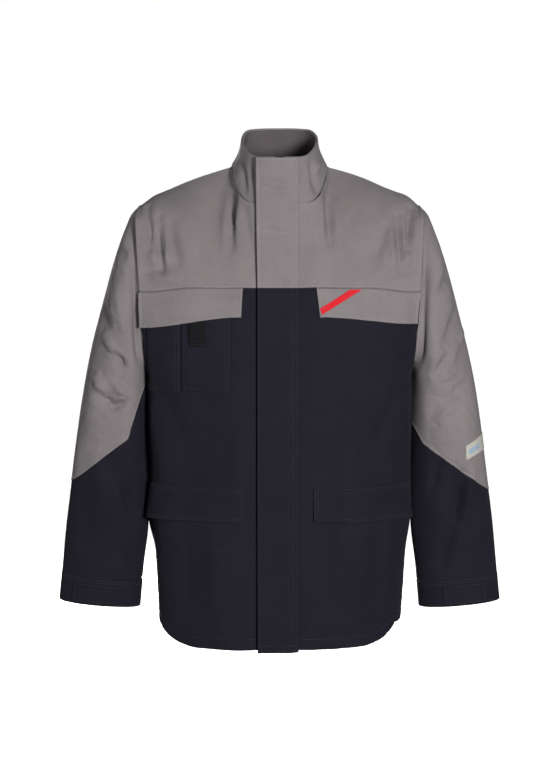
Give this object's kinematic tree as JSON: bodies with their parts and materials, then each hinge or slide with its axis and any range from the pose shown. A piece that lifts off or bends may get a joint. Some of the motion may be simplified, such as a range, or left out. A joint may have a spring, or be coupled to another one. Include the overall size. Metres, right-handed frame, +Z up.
{
  "type": "welding work jacket",
  "caption": "Woven flame-retardant work jacket with stand collar, covered zip, flapped pockets and cuff tabs, hung by its neck loop.",
  "frame": {"origin": "middle of the hanger loop inside the back of the neck", "axes": "+Z up, front faces -Y, the wearer's left is +X"},
  "size_m": [0.724, 0.2526, 0.8314],
  "materials": {
    "grey_cloth": "matte woven twill",
    "navy_cloth": "matte woven twill",
    "webbing": "matte woven tape",
    "brass": "satin, aged",
    "red_label": "satin ribbon, plain",
    "white_label": "woven label, plain"
  },
  "bodies": {
    "jacket_body": {"right_front_panel": "navy_cloth", "right_front_yoke": "grey_cloth", "right_front_facing": "navy_cloth", "right_zip_tape": "webbing", "right_zip_teeth": "brass", "right_zip_top_stop": "brass", "right_hip_pocket_bag": "navy_cloth", "left_front_panel": "navy_cloth", "left_front_yoke": "grey_cloth", "left_front_facing": "navy_cloth", "left_zip_tape": "webbing", "left_zip_teeth": "brass", "left_zip_top_stop": "brass", "left_hip_pocket_bag": "navy_cloth", "back_panel": "navy_cloth", "back_yoke": "grey_cloth", "collar": "grey_cloth", "collar_lining": "grey_cloth", "zip_bottom_box": "brass", "zip_pin": "brass", "right_chest_pocket": "navy_cloth", "right_pen_pocket": "navy_cloth", "right_strap_loop": "webbing", "left_chest_pocket_bag": "navy_cloth", "hanger_loop": "webbing", "size_label": "white_label", "snap_stud_1": "brass", "snap_stud_2": "brass", "snap_stud_3": "brass", "snap_stud_4": "brass"},
    "storm_flap_panel": {"storm_flap_yoke": "grey_cloth", "storm_flap": "navy_cloth", "snap_socket_1": "brass", "snap_socket_2": "brass", "snap_socket_3": "brass", "snap_socket_4": "brass"},
    "right_chest_flap_panel": {"right_chest_flap": "grey_cloth"},
    "left_chest_flap_panel": {"left_chest_flap": "grey_cloth", "red_ribbon_label": "red_label"},
    "right_hip_flap_panel": {"right_hip_flap": "navy_cloth"},
    "left_hip_flap_panel": {"left_hip_flap": "navy_cloth"},
    "right_sleeve": {"right_upper_sleeve_front": "grey_cloth", "right_lower_sleeve_front": "navy_cloth", "right_upper_sleeve_back": "grey_cloth", "right_lower_sleeve_back": "navy_cloth", "right_cuff": "navy_cloth"},
    "left_sleeve": {"left_upper_sleeve_front": "grey_cloth", "left_lower_sleeve_front": "navy_cloth", "left_upper_sleeve_back": "grey_cloth", "left_lower_sleeve_back": "navy_cloth", "left_cuff": "navy_cloth", "sleeve_label": "white_label"},
    "right_cuff_tab_strap": {"right_cuff_tab": "navy_cloth"},
    "left_cuff_tab_strap": {"left_cuff_tab": "navy_cloth"},
    "slider": {"zip_slider": "brass"},
    "pull": {"zip_pull": "brass"}
  },
  "joints": [
    {"name": "storm_flap_swing", "type": "hinge", "parent": "jacket_body", "child": "storm_flap_panel", "pos_m": [0.0316, -0.1842, -0.3745], "axis": [0, 0.0304, 0.9995], "range_deg": [0, 100]},
    {"name": "right_chest_flap_lift", "type": "hinge", "parent": "jacket_body", "child": "right_chest_flap_panel", "pos_m": [-0.1487, -0.1629, -0.1862], "axis": [-0.9774, 0.2112, 0], "range_deg": [0, 100]},
    {"name": "left_chest_flap_lift", "type": "hinge", "parent": "jacket_body", "child": "left_chest_flap_panel", "pos_m": [0.1487, -0.1629, -0.1862], "axis": [-0.9774, -0.2112, 0], "range_deg": [0, 100]},
    {"name": "right_hip_flap_lift", "type": "hinge", "parent": "jacket_body", "child": "right_hip_flap_panel", "pos_m": [-0.1564, -0.1601, -0.5018], "axis": [-0.8844, 0.4667, 0], "range_deg": [0, 85]},
    {"name": "left_hip_flap_lift", "type": "hinge", "parent": "jacket_body", "child": "left_hip_flap_panel", "pos_m": [0.1564, -0.1601, -0.5018], "axis": [-0.8844, -0.4667, 0], "range_deg": [0, 85]},
    {"name": "right_sleeve_raise", "type": "hinge", "parent": "jacket_body", "child": "right_sleeve", "pos_m": [-0.2325, -0.058, -0.051], "axis": [0, 1, 0], "range_deg": [0, 30]},
    {"name": "left_sleeve_raise", "type": "hinge", "parent": "jacket_body", "child": "left_sleeve", "pos_m": [0.2325, -0.058, -0.051], "axis": [0, -1, 0], "range_deg": [0, 30]},
    {"name": "right_cuff_tab_lift", "type": "hinge", "parent": "right_sleeve", "child": "right_cuff_tab_strap", "pos_m": [-0.3381, -0.0935, -0.6845], "axis": [-0.098, 0.049, -0.994], "range_deg": [0, 90]},
    {"name": "left_cuff_tab_lift", "type": "hinge", "parent": "left_sleeve", "child": "left_cuff_tab_strap", "pos_m": [0.3381, -0.0935, -0.6845], "axis": [-0.098, -0.049, 0.994], "range_deg": [0, 90]},
    {"name": "zip_slider_travel", "type": "hinge", "parent": "jacket_body", "child": "slider", "pos_m": [0, 4.317, -0.511], "axis": [1, 0, 0], "range_deg": [0, 9.33]},
    {"name": "zip_pull_swing", "type": "hinge", "parent": "slider", "child": "pull", "pos_m": [0, -0.1546, -0.004], "axis": [0, -0.9936, 0.1126], "range_deg": [-25, 25]}
  ]
}
